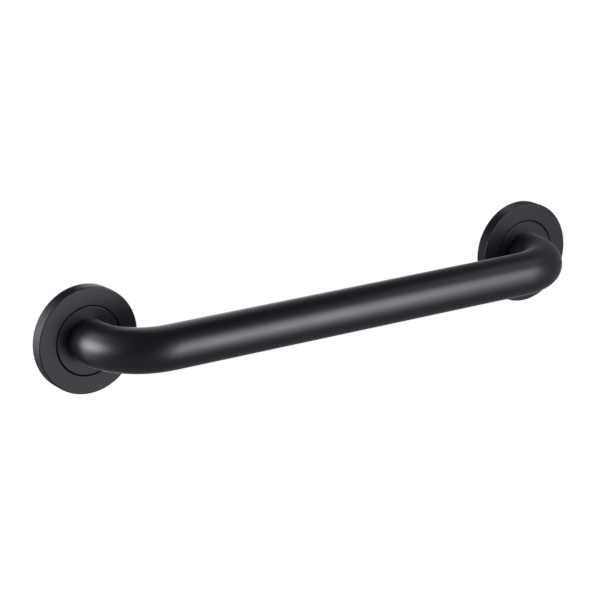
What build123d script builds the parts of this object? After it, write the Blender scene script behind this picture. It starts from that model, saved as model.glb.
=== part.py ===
"""Wall-mounted grab bar with hidden screws.

A round tube is bent square at both ends, and each end is welded into the socket of a turned mounting flange.
Three screws hold each flange to the wall. A cover ring slips over the flange and hides them, with its face
flush with the flange's hub, and an O-ring in the flange's rim grips it. The ring's hole is wide enough to
slide forward over the neck of the tube and part of the bend, which is how the screws are reached.

Frame, in millimetres: +X runs along the bar, +Z is up, the wall is the plane Y = 0 and the bar stands out
towards -Y. The origin is on the wall, midway between the two flanges.
"""

import os
from math import sqrt

from build123d import *

# Bent tube
tube_diameter = 32.0
tube_wall = 1.2
bend_radius = 38.0  # of the tube's centre line, for a plain arc through the middle of the bend
bend_ease = 6.0  # extra length at each end of a bend, over which it starts gently
neck_length = 0.6  # straight tube between the flange's face and the bend
flange_spacing = 381.0  # between the two flanges' centres

# Mounting flange
face_height = 9.5  # from the wall to the flush faces of the hub and the cover
hub_land = 8.7  # flat ring that shows round the tube
plate_thickness = 4.0
socket_floor = 2.0  # metal behind the tube's end
socket_lip = 3.0  # width of the shoulder that the tube's end stands on
screw_hole_diameter = 5.5
screw_count = 3
hub_root_radius = 1.0
hub_edge_radius = 0.6  # rounded edge that shows as a thin light ring

# Cover ring
screw_channel = 12.3  # room for the screw heads, between the hub and the cover's skirt
skirt_wall = 1.5
face_wall = 1.5
seat_width = 1.0  # of the ledge inside the cover that sits on the plate
cover_edge_radius = 0.8
lead_in = 0.5  # chamfer that helps the skirt over the O-ring

# O-ring
cord_diameter = 1.8

# Clearances and small edges
socket_clearance = 0.1  # round the tube, before welding
cover_gap = 0.6  # dark line between the hub and the cover
plate_clearance = 0.5  # between the plate's rim and the cover's skirt
grip_clearance = 0.1  # between the O-ring and the skirt, and under the O-ring
groove_clearance = 0.2  # on each side of the O-ring
edge_break = 0.3

# Sizes that follow
tube_radius = tube_diameter / 2
flange_x = flange_spacing / 2
bend_reach = bend_radius + bend_ease
bar_standoff = face_height + neck_length + bend_reach
hub_radius = tube_radius + hub_land
skirt_inner_radius = hub_radius + screw_channel
cover_radius = skirt_inner_radius + skirt_wall
cover_hole_radius = hub_radius + cover_gap
plate_radius = skirt_inner_radius - plate_clearance
ledge_radius = plate_radius - seat_width
o_ring_radius = skirt_inner_radius - grip_clearance - cord_diameter / 2
groove_floor_radius = o_ring_radius - cord_diameter / 2 - grip_clearance
groove_width = cord_diameter + 2 * groove_clearance
screw_circle_radius = (hub_radius + groove_floor_radius) / 2

os.makedirs("parts", exist_ok=True)


def section_plane(side):
    """Plane of a flange's half section: local X runs out from the axis, local Y out from the wall."""
    return Plane(origin=(side * flange_x, 0, 0), x_dir=(side, 0, 0), z_dir=(0, 0, -side))


def plate_front(side):
    """Plane on the front of a flange's plate, facing the room, with local X pointing away from the bar."""
    centre = (side * flange_x, -plate_thickness, 0)
    return Plane(origin=centre, x_dir=(side, 0, 0), z_dir=(0, -1, 0))


def flange_axis(side):
    """Axis of a flange, square to the wall."""
    return Axis((side * flange_x, 0, 0), (0, 1, 0))


def bend_handles(side):
    """Control points of one bend's curve, from the neck to the bar, counted from the corner of the two runs.

    Three in line at each end make the curve start straight. The middle of such a curve weighs its six points
    1, 5, 10, 10, 5 and 1 in 32, and the nearest handle puts it where a plain arc's middle would lie.
    """
    far = bend_reach * 2 / 3
    near = (32 * bend_radius * (1 - sqrt(0.5)) - bend_reach - 5 * far) / 10
    neck = [(side * flange_x, reach - bar_standoff) for reach in (bend_reach, far, near)]
    bar = [(side * (flange_x - reach), -bar_standoff) for reach in (near, far, bend_reach)]
    return neck + bar


# Bent tube: a ring carried along three straight runs and two bends that start and end gently
with BuildPart() as rail_tube:
    with BuildLine(Plane.XY) as centre_line:
        Line((-flange_x, -socket_floor), (-flange_x, bend_reach - bar_standoff))
        left_bend = Bezier(*bend_handles(-1))
        Line(left_bend @ 1, (flange_x - bend_reach, -bar_standoff))
        right_bend = Bezier(*reversed(bend_handles(1)))
        Line(right_bend @ 1, (flange_x, -socket_floor))
    with BuildSketch(Plane(origin=centre_line.line @ 0, z_dir=centre_line.line % 0)):
        Circle(tube_radius)
        Circle(tube_radius - tube_wall, mode=Mode.SUBTRACT)
    sweep()
rail_tube.part.label = "rail_tube"
export_step(rail_tube.part, "parts/rail_tube.step")

for name, side in (("left", -1), ("right", 1)):
    # Mounting flange: a plate with a raised hub, a socket for the tube and a groove round the rim
    with BuildPart() as mounting_flange:
        with BuildSketch(section_plane(side)):
            with BuildLine():
                Polyline(
                    (tube_radius - socket_lip, 0),
                    (plate_radius, 0),
                    (plate_radius, plate_thickness),
                    (hub_radius, plate_thickness),
                    (hub_radius, face_height),
                    (tube_radius + socket_clearance, face_height),
                    (tube_radius + socket_clearance, socket_floor),
                    (tube_radius - socket_lip, socket_floor),
                    close=True,
                )
            make_face()
            with Locations((groove_floor_radius, plate_thickness / 2)):
                Rectangle(
                    plate_radius,
                    groove_width,
                    align=(Align.MIN, Align.CENTER),
                    mode=Mode.SUBTRACT,
                )
        revolve(axis=flange_axis(side))
        circles = mounting_flange.edges().filter_by(GeomType.CIRCLE).group_by(Axis.Y)
        hub_face_edges = circles[0].sort_by(SortBy.RADIUS)
        plate_front_edges = circles[1].sort_by(SortBy.RADIUS)
        plate_back_edges = circles[-1].sort_by(SortBy.RADIUS)
        fillet(plate_front_edges[0], radius=hub_root_radius)
        fillet(hub_face_edges[-1], radius=hub_edge_radius)
        chamfer([plate_front_edges[-1], plate_back_edges[-1]], length=edge_break)
        with Locations(plate_front(side)):
            with PolarLocations(screw_circle_radius, screw_count):
                Hole(screw_hole_diameter / 2, depth=plate_thickness)
    mounting_flange.part.label = f"{name}_mounting_flange"
    export_step(mounting_flange.part, f"parts/{name}_mounting_flange.step")

    # Cover ring: an open-backed dish whose ledge sits on the plate
    with BuildPart() as cover_ring:
        with BuildSketch(section_plane(side)):
            with BuildLine():
                Polyline(
                    (cover_radius, 0),
                    (cover_radius, face_height),
                    (cover_hole_radius, face_height),
                    (cover_hole_radius, face_height - face_wall),
                    (ledge_radius, face_height - face_wall),
                    (ledge_radius, plate_thickness),
                    (skirt_inner_radius, plate_thickness),
                    (skirt_inner_radius, 0),
                    close=True,
                )
            make_face()
        revolve(axis=flange_axis(side))
        circles = cover_ring.edges().filter_by(GeomType.CIRCLE).group_by(Axis.Y)
        face_edges = circles[0].sort_by(SortBy.RADIUS)
        back_edges = circles[-1].sort_by(SortBy.RADIUS)
        fillet(face_edges[-1], radius=cover_edge_radius)
        chamfer(face_edges[0], length=edge_break)
        chamfer(back_edges[0], length=lead_in)
    cover_ring.part.label = f"{name}_cover_ring"
    export_step(cover_ring.part, f"parts/{name}_cover_ring.step")

    # O-ring in the plate's groove
    with BuildPart() as o_ring:
        with BuildSketch(section_plane(side)):
            with Locations((o_ring_radius, plate_thickness / 2)):
                Circle(cord_diameter / 2)
        revolve(axis=flange_axis(side))
    o_ring.part.label = f"{name}_o_ring"
    export_step(o_ring.part, f"parts/{name}_o_ring.step")
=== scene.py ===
# %% [markdown]
# # A satin black grab bar
# A grab bar is a steel tube that is bent square at both ends and fixed to a wall, to hold on to beside a
# bath, a shower or a toilet. This one hides its screws: a loose cover ring sits over each flange, flush
# with the flange's hub, and slides forward along the tube when a screwdriver has to get in. The shapes
# come from the CAD model, which is loaded first and never moved. What Blender adds is the finish of each
# surface, the studio and the camera. All lengths here are in metres, in the CAD model's own frame: X runs
# along the bar, Z is up and the wall would be the plane Y = 0, with the bar on its -Y side.

import bpy
import numpy as np
from mathutils import Matrix, Vector


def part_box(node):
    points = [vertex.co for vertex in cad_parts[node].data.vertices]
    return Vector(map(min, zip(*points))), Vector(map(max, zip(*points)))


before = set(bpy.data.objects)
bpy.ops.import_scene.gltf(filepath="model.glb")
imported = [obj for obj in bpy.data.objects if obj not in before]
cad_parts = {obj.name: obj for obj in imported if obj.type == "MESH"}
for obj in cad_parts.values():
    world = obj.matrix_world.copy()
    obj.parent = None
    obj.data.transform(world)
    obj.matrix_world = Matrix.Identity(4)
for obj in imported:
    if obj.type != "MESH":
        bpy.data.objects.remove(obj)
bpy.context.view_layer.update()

scene = bpy.context.scene
print("CAD nodes:", ", ".join(sorted(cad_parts)))

# %% [markdown]
# ## Tools for the finishes
# Every finish below is a small graph of nodes. A few helpers keep the graphs readable. One turns a colour
# as it is written for a screen, in hex, into the linear numbers that Blender calculates with. Another
# adds a node, sets it up and links it in one call, so a graph reads from top to bottom like a recipe.

# %% Helpers for colours and nodes
MM = 0.001


def linear(hex_colour):
    """sRGB hex to linear RGBA: c / 12.92 up to 0.04045, and ((c + 0.055) / 1.055) ** 2.4 above it."""
    code = hex_colour.lstrip("#")
    c = np.array([int(code[i:i + 2], 16) for i in (0, 2, 4)]) / 255
    rgb = np.where(c <= 0.04045, c / 12.92, ((c + 0.055) / 1.055) ** 2.4)
    return (*map(float, rgb), 1.0)


def plug(made, sockets):
    """Gives each of a node's inputs that is named a value or a link."""
    for socket, value in sockets.items():
        if isinstance(value, bpy.types.NodeSocket):
            made.id_data.links.new(value, made.inputs[socket])
        else:
            made.inputs[socket].default_value = value


def node(tree, kind, sockets=None, **settings):
    """Adds a node of one kind: settings are its options, and sockets goes to its inputs."""
    made = tree.nodes.new(kind)
    for option, value in settings.items():
        setattr(made, option, value)
    plug(made, sockets or {})
    return made


def cycles_per_metre(size_mm):
    """Texture scale at which one blob of a noise is about this many millimetres across."""
    return 1 / (size_mm * MM)


print("a screen's middle grey in linear light:", round(linear("#808080")[0], 3))

# %% [markdown]
# ## Bare steel inside the tube
# The tube and the flanges are welded first and sprayed with powder afterwards. Nothing is sprayed into
# the tube, where the steel keeps the grey of the mill, and it can be seen through the hole in the back of
# each flange. The inside could be given a second material face by face. A mask that is worked out from
# the part's own sizes needs no picking of faces: the inside is everything nearer to the tube's centre
# line than its wall.

# %% Mask of the tube's inside
tube_low, tube_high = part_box("rail_tube")
cover_low, cover_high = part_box("right_cover_ring")
TUBE_RADIUS = tube_high[2]
TUBE_WALL = 1.2 * MM
BEND_RADIUS = 38 * MM
FLANGE_X = (cover_low[0] + cover_high[0]) / 2
BEND_CENTRE = (FLANGE_X - BEND_RADIUS, -tube_low[1] - TUBE_RADIUS - BEND_RADIUS)


def inside_tube(tree, where):
    """1 inside the tube, 0 on its outer skin and beyond.

    The centre line is a straight run, an arc and a straight neck on each side. With u and v the distances
    past the bend's centre along the bar and out from the wall, none below zero, the distance from that line
    in its own plane is the length of (u, v) less the bend's radius, and z is the distance out of that plane.
    """
    folded = node(tree, "ShaderNodeVectorMath", {0: where}, operation="ABSOLUTE")
    past = node(tree, "ShaderNodeVectorMath", {
        0: folded.outputs["Vector"], 1: (*BEND_CENTRE, 0),
    }, operation="SUBTRACT")
    held = node(tree, "ShaderNodeVectorMath", {
        0: past.outputs["Vector"], 1: (0, 0, 0),
    }, operation="MAXIMUM")
    flat = node(tree, "ShaderNodeVectorMath", {
        0: held.outputs["Vector"], 1: (1, 1, 0),
    }, operation="MULTIPLY")
    round_bend = node(tree, "ShaderNodeVectorMath", {0: flat.outputs["Vector"]}, operation="LENGTH")
    off_line = node(tree, "ShaderNodeMath", {
        0: round_bend.outputs["Value"], 1: BEND_RADIUS,
    }, operation="SUBTRACT")
    height = node(tree, "ShaderNodeSeparateXYZ", {"Vector": where}).outputs["Z"]
    across = node(tree, "ShaderNodeCombineXYZ", {"X": off_line.outputs["Value"], "Y": height})
    distance = node(tree, "ShaderNodeVectorMath", {0: across.outputs["Vector"]}, operation="LENGTH")
    return node(tree, "ShaderNodeMath", {
        0: distance.outputs["Value"], 1: TUBE_RADIUS - TUBE_WALL / 2,
    }, operation="LESS_THAN").outputs["Value"]


print(f"tube radius {TUBE_RADIUS / MM:.1f} mm")
print("bends' centres in mm from the middle and the wall:", [round(c / MM, 1) for c in BEND_CENTRE])

# %% [markdown]
# ## Dry coat under the covers
# Sprayed powder is charged, and charge keeps it out of deep corners, so in the recess that a cover hides
# the skin is thin, dull and dusty. That place could be painted by hand as a mask too. Here it is
# everything near a flange's axis and behind its face, and it comes in gradually with the depth, as the
# powder does.

# %% Mask of the covered recess
FACE_Y = cover_low[1]
SKIRT_WALL = 1.5 * MM
SKIRT_INSIDE = (cover_high[0] - cover_low[0]) / 2 - SKIRT_WALL
WITHIN_SKIRT = 0.5 * MM  # the mask ends within the skirt's wall, so its edge meets no surface
DRY_FROM, DRY_FULLY = 0.8 * MM, 2.5 * MM  # depths behind the face


def under_cover(tree, where):
    """1 in the recess behind a cover's face, 0 on everything that shows.

    It is 1 where the distance from the flange's axis, the length of (|x| less the axis's x, z), is less than
    the skirt's inside, times a ramp in y that rises behind the face.
    """
    folded = node(tree, "ShaderNodeVectorMath", {0: where}, operation="ABSOLUTE")
    from_axis = node(tree, "ShaderNodeVectorMath", {
        0: folded.outputs["Vector"], 1: (FLANGE_X, 0, 0),
    }, operation="SUBTRACT")
    flat = node(tree, "ShaderNodeVectorMath", {
        0: from_axis.outputs["Vector"], 1: (1, 0, 1),
    }, operation="MULTIPLY")
    radius = node(tree, "ShaderNodeVectorMath", {0: flat.outputs["Vector"]}, operation="LENGTH")
    near = node(tree, "ShaderNodeMath", {
        0: radius.outputs["Value"], 1: SKIRT_INSIDE + WITHIN_SKIRT,
    }, operation="LESS_THAN")
    depth = node(tree, "ShaderNodeSeparateXYZ", {"Vector": where}).outputs["Y"]
    behind = node(tree, "ShaderNodeMapRange", {
        "Value": depth, "From Min": FACE_Y + DRY_FROM, "From Max": FACE_Y + DRY_FULLY,
    })
    return node(tree, "ShaderNodeMath", {
        0: near.outputs["Value"], 1: behind.outputs["Result"],
    }, operation="MULTIPLY").outputs["Value"]


print(f"flange axis at x = {FLANGE_X / MM:.1f} mm, its face at y = {FACE_Y / MM:.1f} mm")

# %% [markdown]
# ## Colour of the powder coat
# The tube, the flanges and the covers are steel that was sprayed with black polyester powder and baked.
# The powder melts into one skin about 0.08 mm thick, so no steel shows. The black is a little blue, as
# carbon black in a clear resin is. One flat colour would do for a photograph this size, but up close a
# coat is never quite even, so two blacks are mixed by the grain of the powder. The masks then put in the
# grey of the dry recess and the streaky grey of drawn steel.

# %% Colour of the coat and of the bare steel
COAT_BLACKS = linear("#10121a"), linear("#161820")
DRY_COAT = linear("#2b2c31")
DRAWN_STEEL = linear("#6f6d69"), linear("#8d8b87")
DRAW_LINES_MM = 0.5  # scratches that drawing leaves along a tube's inside, finer than this in reality
DRAW_STRETCH = 0.06  # they run along the neck, where the inside can be seen


def coat_colour(tree, where, grain, dry, bare):
    """Black mixed by the grain, with the recess's grey where dry is 1 and the steel's where bare is 1."""
    black = node(tree, "ShaderNodeMix", {
        "Factor": grain, "A": COAT_BLACKS[0], "B": COAT_BLACKS[1],
    }, data_type="RGBA")
    dusty = node(tree, "ShaderNodeMix", {
        "Factor": dry, "A": black.outputs["Result"], "B": DRY_COAT,
    }, data_type="RGBA")
    drawn = node(tree, "ShaderNodeVectorMath", {0: where, 1: (1, DRAW_STRETCH, 1)}, operation="MULTIPLY")
    mill = node(tree, "ShaderNodeTexNoise", {
        "Vector": drawn.outputs["Vector"], "Scale": cycles_per_metre(DRAW_LINES_MM),
    })
    steel = node(tree, "ShaderNodeMix", {
        "Factor": mill.outputs["Fac"], "A": DRAWN_STEEL[0], "B": DRAWN_STEEL[1],
    }, data_type="RGBA")
    return node(tree, "ShaderNodeMix", {
        "Factor": bare, "A": dusty.outputs["Result"], "B": steel.outputs["Result"],
    }, data_type="RGBA").outputs["Result"]


print("the coat's blacks in linear light:", [[round(c, 4) for c in black[:3]] for black in COAT_BLACKS])

# %% [markdown]
# ## Gloss of the powder coat
# A satin coat has wide, soft highlights, and its gloss drifts a little where the skin is thicker or
# thinner. One roughness would give the soft highlight but look like plastic film, so noise moves it by a
# few percent. Flat faces catch more powder than a round tube does, and a thicker skin bakes duller, so
# the discs have values of their own.

# %% Roughness of the coat and of the bare steel
FILM_DRIFT_MM = 38.0  # thick and thin places of the skin
FILM_THICK, FILM_THIN = 0.3, 0.7  # most of the noise lies between these
TUBE_GLOSS = (0.36, 0.40)  # roughness where the skin is thick and where it is thin
DISC_GLOSS = (0.39, 0.43)
DRY_ROUGHNESS = 0.58
STEEL_ROUGHNESS = 0.42


def coat_roughness(tree, where, gloss, dry, bare):
    """Drift between gloss's two values, with the recess's where dry is 1 and the steel's where bare is 1."""
    film = node(tree, "ShaderNodeTexNoise", {
        "Vector": where, "Scale": cycles_per_metre(FILM_DRIFT_MM), "Detail": 3.0,
    })
    drift = node(tree, "ShaderNodeMapRange", {
        "Value": film.outputs["Fac"], "From Min": FILM_THICK, "From Max": FILM_THIN,
        "To Min": gloss[0], "To Max": gloss[1],
    })
    dull = node(tree, "ShaderNodeMix", {"Factor": dry, "A": drift.outputs["Result"], "B": DRY_ROUGHNESS})
    return node(tree, "ShaderNodeMix", {
        "Factor": bare, "A": dull.outputs["Result"], "B": STEEL_ROUGHNESS,
    }).outputs["Result"]


print("roughness of the tube", TUBE_GLOSS, "and of the discs", DISC_GLOSS)

# %% [markdown]
# ## Ripple of the powder coat
# Melted powder never flows out quite flat. It keeps the faint ripple called orange peel, and in it a
# finer grain of single specks. Both are a few thousandths of a millimetre high, far too low to model as a
# shape, so they are a height of noise that turns the normals.

# %% Orange peel and grain
PEEL_MM = 1.6  # the real ripple is 1 to 2 mm from crest to crest
PEEL_HEIGHT_MM = 0.004
GRAIN_MM = 0.7  # melted powder is nearer 0.1 mm, too fine to show in the render, so it is drawn coarser
GRAIN_HEIGHT_MM = 0.0025


def coat_ripple(tree, where, grain):
    """Normals of a surface as high as the peel's noise plus the grain's, each times its own height."""
    peel = node(tree, "ShaderNodeTexNoise", {
        "Vector": where, "Scale": cycles_per_metre(PEEL_MM), "Detail": 1.0,
    })
    height = node(tree, "ShaderNodeMath", {
        0: grain, 1: GRAIN_HEIGHT_MM / PEEL_HEIGHT_MM, 2: peel.outputs["Fac"],
    }, operation="MULTIPLY_ADD")
    return node(tree, "ShaderNodeBump", {
        "Height": height.outputs["Value"], "Strength": 1.0, "Distance": PEEL_HEIGHT_MM * MM,
    }).outputs["Normal"]


print(f"peel {PEEL_HEIGHT_MM * 1000:.1f} and grain {GRAIN_HEIGHT_MM * 1000:.1f} thousandths of a mm high")

# %% [markdown]
# ## Powder coat on the pieces
# Now the three come together in one Principled shader, whose last values are the same all over. Clear
# resin rises to the top of the skin as it bakes. A faint second gloss over the first, Blender's coat,
# stands for it: seen almost along the surface it mirrors more than it does face on. What makes the powder
# satin is a wax, and wax at the surface is a haze that shows only where the tube turns away from the eye,
# as a thin light line along its edge: Blender's sheen. The discs are flat, so they show no such line.

# %% Satin black powder coat on steel
TUBE_SHINE, DISC_SHINE = 0.55, 0.32
TUBE_HAZE, DISC_HAZE = 0.33, 0.0
HAZE_ROUGHNESS = 0.22
RESIN, RESIN_ROUGHNESS = 0.19, 0.27


def powder_coat(name, gloss, shine, haze):
    """Baked polyester powder on steel: gloss is the two values that the roughness drifts between."""
    material = bpy.data.materials.new(name)
    material.use_nodes = True
    tree = material.node_tree
    where = node(tree, "ShaderNodeTexCoord").outputs["Object"]
    grain = node(tree, "ShaderNodeTexNoise", {
        "Vector": where, "Scale": cycles_per_metre(GRAIN_MM), "Detail": 2.0,
    }).outputs["Fac"]
    dry = under_cover(tree, where)
    bare = inside_tube(tree, where)
    plug(tree.nodes["Principled BSDF"], {
        "Base Color": coat_colour(tree, where, grain, dry, bare),
        "Metallic": bare,
        "Roughness": coat_roughness(tree, where, gloss, dry, bare),
        "Normal": coat_ripple(tree, where, grain),
        "Specular IOR Level": shine,
        "Sheen Weight": haze,
        "Sheen Roughness": HAZE_ROUGHNESS,
        "Coat Weight": RESIN,
        "Coat Roughness": RESIN_ROUGHNESS,
    })
    return material


TUBE_COAT = powder_coat("satin_black_powder_coat_on_drawn_tube", TUBE_GLOSS, TUBE_SHINE, TUBE_HAZE)
DISC_COAT = powder_coat("satin_black_powder_coat_on_turned_discs", DISC_GLOSS, DISC_SHINE, DISC_HAZE)
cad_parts["rail_tube"].data.materials[0] = TUBE_COAT
for side in ("left", "right"):
    for disc in ("mounting_flange", "cover_ring"):
        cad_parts[f"{side}_{disc}"].data.materials[0] = DISC_COAT
for coat in (TUBE_COAT, DISC_COAT):
    print(coat.name, "on", [n for n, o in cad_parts.items() if o.data.materials[0] == coat])

# %% [markdown]
# ## Rubber
# An O-ring of moulded nitrile rubber sits in a groove round each flange and grips the cover. It only
# shows when the cover is slid forward. Rubber scatters light more than a coat does, so its highlight is
# wide and faint, and a thin grey bloom of wax comes to its surface in patches. A dark grey with a high
# roughness would pass for it at arm's length. The bloom and the texture of the mould are what tells
# rubber from paint, and each is one noise.

# %% Moulded nitrile rubber
BLOOM_MM = 6.0
MOULD_TEXTURE_MM = 0.4  # spark-eroded moulds leave a finer texture, which would not show
MOULD_DEPTH_MM = 0.01
RUBBER_BLACK, RUBBER_BLOOM = linear("#141414"), linear("#232425")


def nitrile_rubber(name):
    """Moulded black rubber with a patchy grey bloom."""
    material = bpy.data.materials.new(name)
    material.use_nodes = True
    tree = material.node_tree
    where = node(tree, "ShaderNodeTexCoord").outputs["Object"]
    bloom = node(tree, "ShaderNodeTexNoise", {
        "Vector": where, "Scale": cycles_per_metre(BLOOM_MM), "Detail": 4.0,
    })
    mould = node(tree, "ShaderNodeTexNoise", {
        "Vector": where, "Scale": cycles_per_metre(MOULD_TEXTURE_MM),
    })
    colour = node(tree, "ShaderNodeMix", {
        "Factor": bloom.outputs["Fac"], "A": RUBBER_BLACK, "B": RUBBER_BLOOM,
    }, data_type="RGBA")
    texture = node(tree, "ShaderNodeBump", {
        "Height": mould.outputs["Fac"], "Strength": 0.6, "Distance": MOULD_DEPTH_MM * MM,
    })
    plug(tree.nodes["Principled BSDF"], {
        "Base Color": colour.outputs["Result"],
        "Normal": texture.outputs["Normal"],
        "Roughness": 0.62,
        "IOR": 1.52,
    })
    return material


RUBBER = nitrile_rubber("moulded_nitrile_rubber")
for side in ("left", "right"):
    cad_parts[f"{side}_o_ring"].data.materials[0] = RUBBER
print(RUBBER.name, "on", [n for n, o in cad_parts.items() if o.data.materials[0] == RUBBER])

# %% [markdown]
# ## Softboxes
# A satin black coat mirrors whatever stands around it, so in a white room it looks grey all over.
# Photographers of black goods therefore keep the white paper behind the object, hang dark cloth
# everywhere else and light through softboxes, whose mirror images are the long soft streaks that show the
# tube is round. A softbox could be a glowing panel of mesh. An area lamp does the same with less noise,
# because Cycles knows where to look for it. Its watts follow from how bright the middle of its face
# should look: pi times brightness times area. A real softbox is brightest in the middle, where its bulb
# is, and fades to its edges, and that fade is what makes the streaks melt into the black.

# %% A softbox
DAYLIGHT = linear("#f8fbff")
ROOM_CENTRE = Vector((0, -0.03, 0))


def direction(azimuth, elevation):
    """Unit vector to a place round the bar, in degrees: azimuth 0 is in front and 90 at the right end."""
    a, e = np.radians((azimuth, elevation))
    return Vector((np.sin(a) * np.cos(e), -np.cos(a) * np.cos(e), np.sin(e)))


def softbox(name, azimuth, elevation, distance, width, height, tilt, brightness):
    """Area lamp that faces the bar: its brightness is a smooth step of 1 - r, with r = 1 at its edges."""
    lamp = bpy.data.lights.new(name, "AREA")
    lamp.shape = "RECTANGLE"
    lamp.size, lamp.size_y = width, height
    lamp.energy = brightness * np.pi * width * height
    lamp.use_nodes = True
    tree = lamp.node_tree
    place = node(tree, "ShaderNodeNewGeometry").outputs["Parametric"]
    centred = node(tree, "ShaderNodeVectorMath", {
        0: place, 1: (2, 2, 0), 2: (-1, -1, 0),
    }, operation="MULTIPLY_ADD")
    r = node(tree, "ShaderNodeVectorMath", {0: centred.outputs["Vector"]}, operation="LENGTH")
    fade = node(tree, "ShaderNodeMapRange", {
        "Value": r.outputs["Value"], "From Min": 1.0, "From Max": 0.0,
    }, interpolation_type="SMOOTHSTEP")
    plug(tree.nodes["Emission"], {"Color": DAYLIGHT, "Strength": fade.outputs["Result"]})
    holder = bpy.data.objects.new(name, lamp)
    away = direction(azimuth, elevation)
    turned = away.to_track_quat("Z", "Y").to_matrix() @ Matrix.Rotation(np.radians(tilt), 3, "Z")
    holder.location = ROOM_CENTRE + away * distance
    holder.rotation_euler = turned.to_euler()
    scene.collection.objects.link(holder)
    print(f"{name}: {lamp.energy:.1f} W")


# %% [markdown]
# ## Lamp plan
# Each softbox has one job. They could be set by eye, one after the other. Here their places and brightness
# were fitted together: they were moved until their mirror images on the bar lay where the photograph has
# them, and the values were then rounded to whole degrees and centimetres.

# %% Softboxes round the bar
# The long streak along the tube
softbox("key_softbox", azimuth=30, elevation=10, distance=1.32,
        width=0.91, height=2.06, tilt=-35, brightness=8.0)
# The spot of light on the left bend
softbox("side_softbox", azimuth=-104, elevation=9, distance=1.16,
        width=1.27, height=1.13, tilt=20, brightness=8.7)
# The upper side of the tube, towards its left end
softbox("rim_softbox", azimuth=145, elevation=52, distance=1.28,
        width=1.30, height=0.36, tilt=85, brightness=0.9)
# The edge of the left cover, from close by
softbox("back_softbox", azimuth=-117, elevation=9, distance=0.52,
        width=0.60, height=1.05, tilt=0, brightness=2.8)
# The upper side of the tube, towards its right end, also from close by
softbox("end_softbox", azimuth=69, elevation=39, distance=0.57,
        width=0.56, height=0.32, tilt=0, brightness=0.9)

# %% [markdown]
# ## White room
# Behind the bar there is nothing but white. A world of strength 1 is exactly white to the camera and in
# reflections. As fill light on the object it would be too much on top of the softboxes, so rays that look
# for fill see a dimmer room: together with the softboxes, a colour then comes out about as bright as it
# is written.

# %% White world
FILL = 0.4
world = bpy.data.worlds.new("white_room")
world.use_nodes = True
world.cycles.sampling_method = "NONE"  # light aimed from the world would pass through the cloth below
scene.world = world
tree = world.node_tree
ray = node(tree, "ShaderNodeLightPath").outputs
mirrored = node(tree, "ShaderNodeMath", {
    0: ray["Is Glossy Ray"], 1: ray["Is Transmission Ray"],
}, operation="MAXIMUM")
seen = node(tree, "ShaderNodeMath", {
    0: ray["Is Camera Ray"], 1: mirrored.outputs["Value"],
}, operation="MAXIMUM")
strength = node(tree, "ShaderNodeMapRange", {
    "Value": seen.outputs["Value"], "To Min": FILL, "To Max": 1.0,
})
plug(tree.nodes["Background"], {"Color": linear("#ffffff"), "Strength": strength.outputs["Result"]})
print("world: white, with a fill of", FILL)

# %% [markdown]
# ## Dark cloth
# The cloth hangs as a dome round the bar. It is there for reflections only: the camera looks past it to
# the white room, and it takes no fill light away. It isn't equally black. Light from the pale floor
# spills over its lower right half, and low in front stands a small bright card, which the flat faces of
# the discs mirror. Two more lamps could do that. A glow in the cloth's own material is simpler, and it
# lights nothing: it is only mirrored.

# %% Cloth with a faint glow
CLOTH_RADIUS = 1.5


def glow(tree, where, azimuth, elevation, starts, full, brightness):
    """Brightness that rises smoothly with how far a place of the cloth lies this way, where 1 is white.

    How far is the dot product of the place with the unit vector this way, in radii of the dome: 1 straight
    on, 0 at right angles and -1 on the opposite side.
    """
    way = direction(azimuth, elevation) / CLOTH_RADIUS
    far = node(tree, "ShaderNodeVectorMath", {0: where, 1: way}, operation="DOT_PRODUCT")
    return node(tree, "ShaderNodeMapRange", {
        "Value": far.outputs["Value"], "From Min": starts, "From Max": full, "To Max": brightness,
    }, interpolation_type="SMOOTHSTEP").outputs["Result"]


cloth = bpy.data.materials.new("dark_cloth")
cloth.use_nodes = True
cloth.cycles.emission_sampling = "NONE"  # only mirror rays meet it, so it isn't searched for as a lamp is
tree = cloth.node_tree
tree.nodes.clear()
where = node(tree, "ShaderNodeTexCoord").outputs["Object"]
spill = glow(tree, where, azimuth=81, elevation=-55, starts=-0.24, full=-0.12, brightness=0.175)
card = glow(tree, where, azimuth=22, elevation=-13, starts=0.89, full=1.02, brightness=2.2)
both = node(tree, "ShaderNodeMath", {0: spill, 1: card}, operation="ADD")
lit = node(tree, "ShaderNodeEmission", {"Color": DAYLIGHT, "Strength": both.outputs["Value"]})
node(tree, "ShaderNodeOutputMaterial", {"Surface": lit.outputs["Emission"]})
print("cloth's glow has", len(tree.nodes), "nodes")

# %% [markdown]
# ## Dome with a gap
# At the back, on the right, the cloth leaves a gap. The white room shows through it and draws a thin
# light rim along the top of the tube. The gap is two upright strips side by side, the second one reaching
# higher. One sphere with a hole cut in it would do. Patches of a sphere leave the same hole with no
# cutting: one goes most of the way round, and each strip has a patch over it and one under it.

# %% Dome of dark cloth
# from and to azimuth, from and to elevation, in degrees
GAP_STRIPS = (
    (143, 149, -33, 21),
    (149, 162, -22, 51),
)
POINTS_ROUND, POINTS_UP = 49, 25  # of each patch


def grid_mesh(name, points):
    """Quads through a grid of points: corner (i, j) is joined to (i, j+1), (i+1, j+1) and (i+1, j)."""
    rows, columns = points.shape[:2]
    i, j = np.meshgrid(np.arange(rows - 1), np.arange(columns - 1), indexing="ij")
    first = (i * columns + j).ravel()
    faces = np.stack([first, first + 1, first + columns + 1, first + columns], axis=1)
    mesh = bpy.data.meshes.new(name)
    mesh.from_pydata(points.reshape(-1, 3).tolist(), [], faces.tolist())
    return mesh


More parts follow.
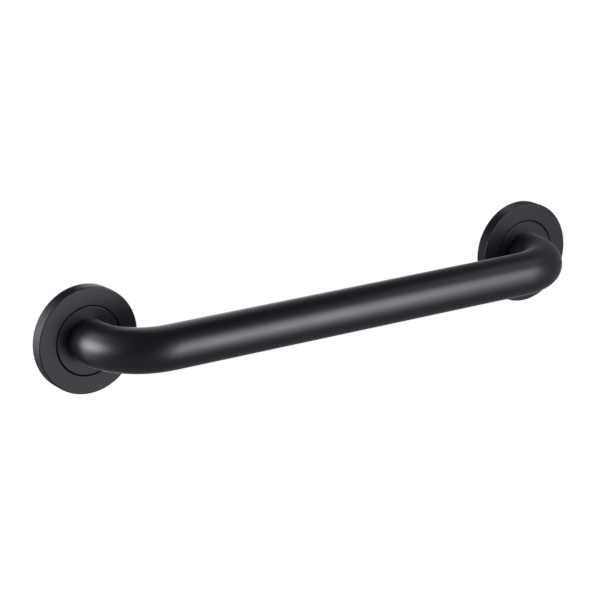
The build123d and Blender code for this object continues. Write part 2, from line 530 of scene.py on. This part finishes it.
def dome(azimuths, elevations):
    """Part of a sphere round the bar: its radius times the unit vector of each azimuth and elevation."""
    a, e = np.meshgrid(
        np.radians(np.linspace(*azimuths, POINTS_ROUND)), np.radians(np.linspace(*elevations, POINTS_UP)))
    return CLOTH_RADIUS * np.stack([np.sin(a) * np.cos(e), -np.cos(a) * np.cos(e), np.sin(e)], axis=-1)


patches = [("cloth_round", (GAP_STRIPS[-1][1], GAP_STRIPS[0][0] + 360), (-90, 90))]
for n, (start, end, low, high) in enumerate(GAP_STRIPS, 1):
    patches.append((f"cloth_over_{n}", (start, end), (high, 90)))
    patches.append((f"cloth_under_{n}", (start, end), (-90, low)))
for name, azimuths, elevations in patches:
    piece = bpy.data.objects.new(name, grid_mesh(name, dome(azimuths, elevations)))
    piece.data.materials.append(cloth)
    piece.visible_camera = piece.visible_diffuse = False
    piece.visible_shadow = piece.visible_transmission = False
    scene.collection.objects.link(piece)
    print(name, "has", len(piece.data.polygons), "quads")

# %% [markdown]
# ## Floor
# Grab bars are fixed 0.84 to 0.91 m above the floor, and that is where the floor is here: a plain pale
# one, which keeps the bar's soft shadow. From the photograph's angle it is below the picture, and it
# shows in views from above. A floor with a hard edge would cut across such views, so this one melts into
# the white room over its outer third, and it is clear from below, so that a camera under it still sees
# the bar.

# %% Pale floor
FLOOR_HEIGHT = -0.85
FLOOR_RADIUS = 1.2
MELT_FROM = 0.65 * FLOOR_RADIUS
FLOOR_POINTS = 25  # along each side
x, y = np.meshgrid(*[np.linspace(-FLOOR_RADIUS, FLOOR_RADIUS, FLOOR_POINTS)] * 2)
square = np.stack([x, y, np.full_like(x, FLOOR_HEIGHT)], axis=-1)
floor = bpy.data.objects.new("floor", grid_mesh("floor", square))
paint = bpy.data.materials.new("pale_floor_paint")
paint.use_nodes = True
tree = paint.node_tree
tree.nodes.clear()
where = node(tree, "ShaderNodeTexCoord").outputs["Object"]
flat = node(tree, "ShaderNodeVectorMath", {0: where, 1: (1, 1, 0)}, operation="MULTIPLY")
r = node(tree, "ShaderNodeVectorMath", {0: flat.outputs["Vector"]}, operation="LENGTH")
melt = node(tree, "ShaderNodeMapRange", {
    "Value": r.outputs["Value"], "From Min": MELT_FROM, "From Max": FLOOR_RADIUS,
}, interpolation_type="SMOOTHSTEP")
below = node(tree, "ShaderNodeNewGeometry").outputs["Backfacing"]
clear = node(tree, "ShaderNodeMath", {0: melt.outputs["Result"], 1: below}, operation="MAXIMUM")
painted = node(tree, "ShaderNodeBsdfDiffuse", {"Color": linear("#f6f6f6")})
nothing = node(tree, "ShaderNodeBsdfTransparent")
surface = node(tree, "ShaderNodeMixShader", {
    "Fac": clear.outputs["Value"], 1: painted.outputs["BSDF"], 2: nothing.outputs["BSDF"],
})
node(tree, "ShaderNodeOutputMaterial", {"Surface": surface.outputs["Shader"]})
floor.data.materials.append(paint)
floor.visible_glossy = False  # the glow of the cloth stands for its reflection
scene.collection.objects.link(floor)
print("floor at", FLOOR_HEIGHT, "m, facing", [round(c) for c in floor.data.polygons[0].normal])

# %% [markdown]
# ## Camera
# The camera stands to the left of the bar's middle and a little above it, far enough away that the bar's
# far end is hardly smaller than its near end. Its place was found by fitting the outline of the CAD model
# to the outline in the photograph, with the length of the lens left free.

# %% Camera at the photograph's angle
CAMERA_AZIMUTH, CAMERA_ELEVATION, CAMERA_ROLL = -33.11, 17.27, -0.54
CAMERA_DISTANCE = 1.776
CAMERA_TARGET = Vector((-0.0298, -0.030, 0.0061))
LENS_MM, SENSOR_MM = 148.85, 36.0
camera = bpy.data.objects.new("photo_camera", bpy.data.cameras.new("photo_camera"))
camera.data.lens = LENS_MM
camera.data.sensor_width = SENSOR_MM
back = direction(CAMERA_AZIMUTH, CAMERA_ELEVATION)
aim = back.to_track_quat("Z", "Y").to_matrix().to_4x4()
roll = Matrix.Rotation(np.radians(CAMERA_ROLL), 4, "Z")
camera.matrix_world = Matrix.Translation(CAMERA_TARGET + back * CAMERA_DISTANCE) @ aim @ roll
scene.collection.objects.link(camera)
scene.camera = camera
scene.view_settings.view_transform = "Standard"
print("camera at", [round(c, 3) for c in camera.matrix_world.translation])
